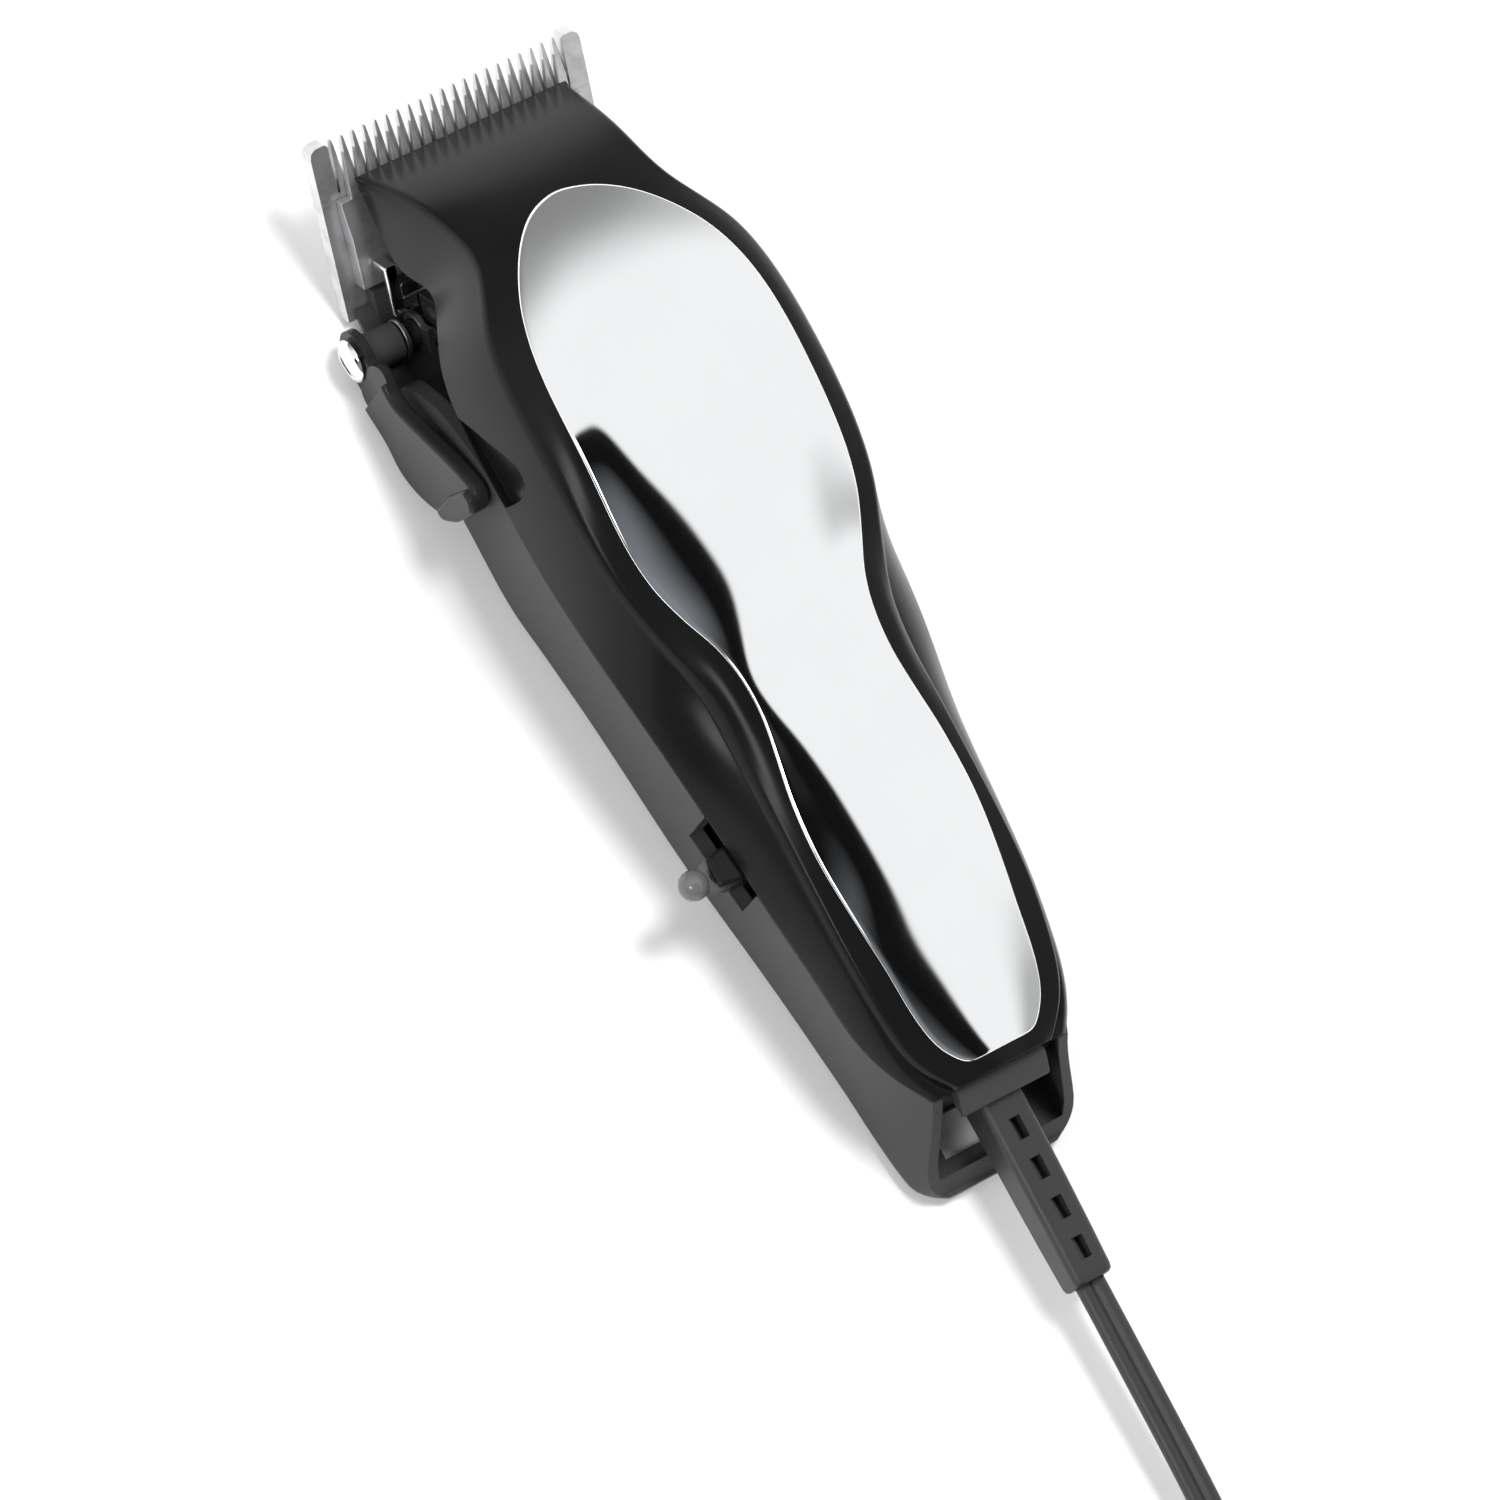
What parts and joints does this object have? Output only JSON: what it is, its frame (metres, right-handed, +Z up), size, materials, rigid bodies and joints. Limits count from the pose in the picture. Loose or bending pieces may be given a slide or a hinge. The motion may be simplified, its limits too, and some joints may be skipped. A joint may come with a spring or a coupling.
{
  "type": "electric pet clipper",
  "caption": "Corded pet clipper with a deep black casing, a crowned mirror-chrome face plate, a tapered steel blade set, a side taper lever, a slide switch and a tail loop.",
  "frame": {"origin": "under the middle of the clipper's bounding box (cord, plug and strain relief left out), on the surface it lies on", "axes": "+Y along the body from the cord end to the blade tips, +Z up from the flat underside to the face plate, +X to the right seen from above with the blade away from you"},
  "size_m": [0.0597, 0.4612, 0.0464],
  "materials": {
    "cover_black": "black moulded plastic, satin sheen",
    "housing_grey": "black moulded plastic, fine matt texture",
    "chrome": "mirror chrome plating",
    "blade_steel": "ground and lapped blade steel",
    "plain_steel": "zinc-plated or plain steel",
    "iron": "laminated electrical iron",
    "copper": "enamelled copper winding wire",
    "brass": "plain brass",
    "white_plastic": "natural nylon",
    "grey_plastic": "light grey moulded plastic",
    "lever_black": "black moulded plastic",
    "soft_black": "flexible black cord jacket"
  },
  "bodies": {
    "housing": {"bottom_housing": "housing_grey", "top_cover": "cover_black", "face_plate": "chrome", "exit_panel": "housing_grey", "stationary_blade": "blade_steel", "blade_screw_left": "plain_steel", "blade_screw_right": "plain_steel", "lever_screw": "chrome", "lever_washer": "plain_steel", "switch_base": "white_plastic", "terminal_back": "brass", "terminal_front": "brass", "stator_core": "iron", "coil_bobbin": "white_plastic", "coil_winding": "copper", "motor_bracket": "plain_steel", "spring_clamp": "plain_steel", "leaf_spring_left": "plain_steel", "leaf_spring_right": "plain_steel", "core_screw_back": "plain_steel", "core_screw_front": "plain_steel", "housing_screw_front_left": "plain_steel", "housing_screw_front_right": "plain_steel", "housing_screw_rear": "plain_steel", "strain_relief": "soft_black", "cord_clamp": "white_plastic", "inner_lead_left": "soft_black", "inner_lead_right": "soft_black", "cord_lead": "soft_black", "cord_hank": "soft_black", "cord_tie": "lever_black", "cord_tail": "soft_black", "plug_body": "soft_black", "plug_blade_left": "brass", "plug_blade_right": "brass"},
    "lever": {"taper_lever": "lever_black", "taper_crank": "plain_steel"},
    "carriage": {"taper_carriage": "lever_black", "tension_clip": "chrome"},
    "cutter": {"moving_blade": "blade_steel", "blade_guide": "white_plastic"},
    "armature": {"armature": "iron", "drive_arm": "plain_steel"},
    "switch": {"switch_knob": "lever_black", "switch_ball": "grey_plastic", "switch_plate": "grey_plastic", "contact_slider": "brass"},
    "power_screw": {"power_screw": "brass"}
  },
  "joints": [
    {"name": "taper_lever_turn", "type": "hinge", "parent": "housing", "child": "lever", "pos_m": [-0.02215, 0.05965, 0.0056], "axis": [-1, 0, 0], "range_deg": [-4, 26]},
    {"name": "taper_slide", "type": "slide", "parent": "housing", "child": "carriage", "axis": [0, 0.7325, 0.6807], "range_m": [-0.00021, 0.00138]},
    {"name": "armature_swing", "type": "hinge", "parent": "housing", "child": "armature", "pos_m": [-0.00215, -0.03865, 0.015], "axis": [0, 0, 1], "range_deg": [-0.65, 0.65], "stiffness_Nm_per_rad": 14},
    {"name": "blade_stroke", "type": "slide", "parent": "carriage", "child": "cutter", "axis": [1, 0, 0], "range_m": [-0.0013, 0.0013]},
    {"name": "switch_slide", "type": "slide", "parent": "housing", "child": "switch", "axis": [0, 1, 0], "range_m": [-0.0023, 0.004]},
    {"name": "power_screw_turn", "type": "hinge", "parent": "housing", "child": "power_screw", "pos_m": [0.02385, -0.00465, 0.012], "axis": [1, 0, 0], "range_deg": [-180, 180]}
  ],
  "couplings": [
    {"joint": "taper_lever_turn", "follows": "taper_slide", "rad_per_m": 326.8},
    {"joint": "blade_stroke", "follows": "armature_swing", "m_per_rad": -0.1085}
  ]
}
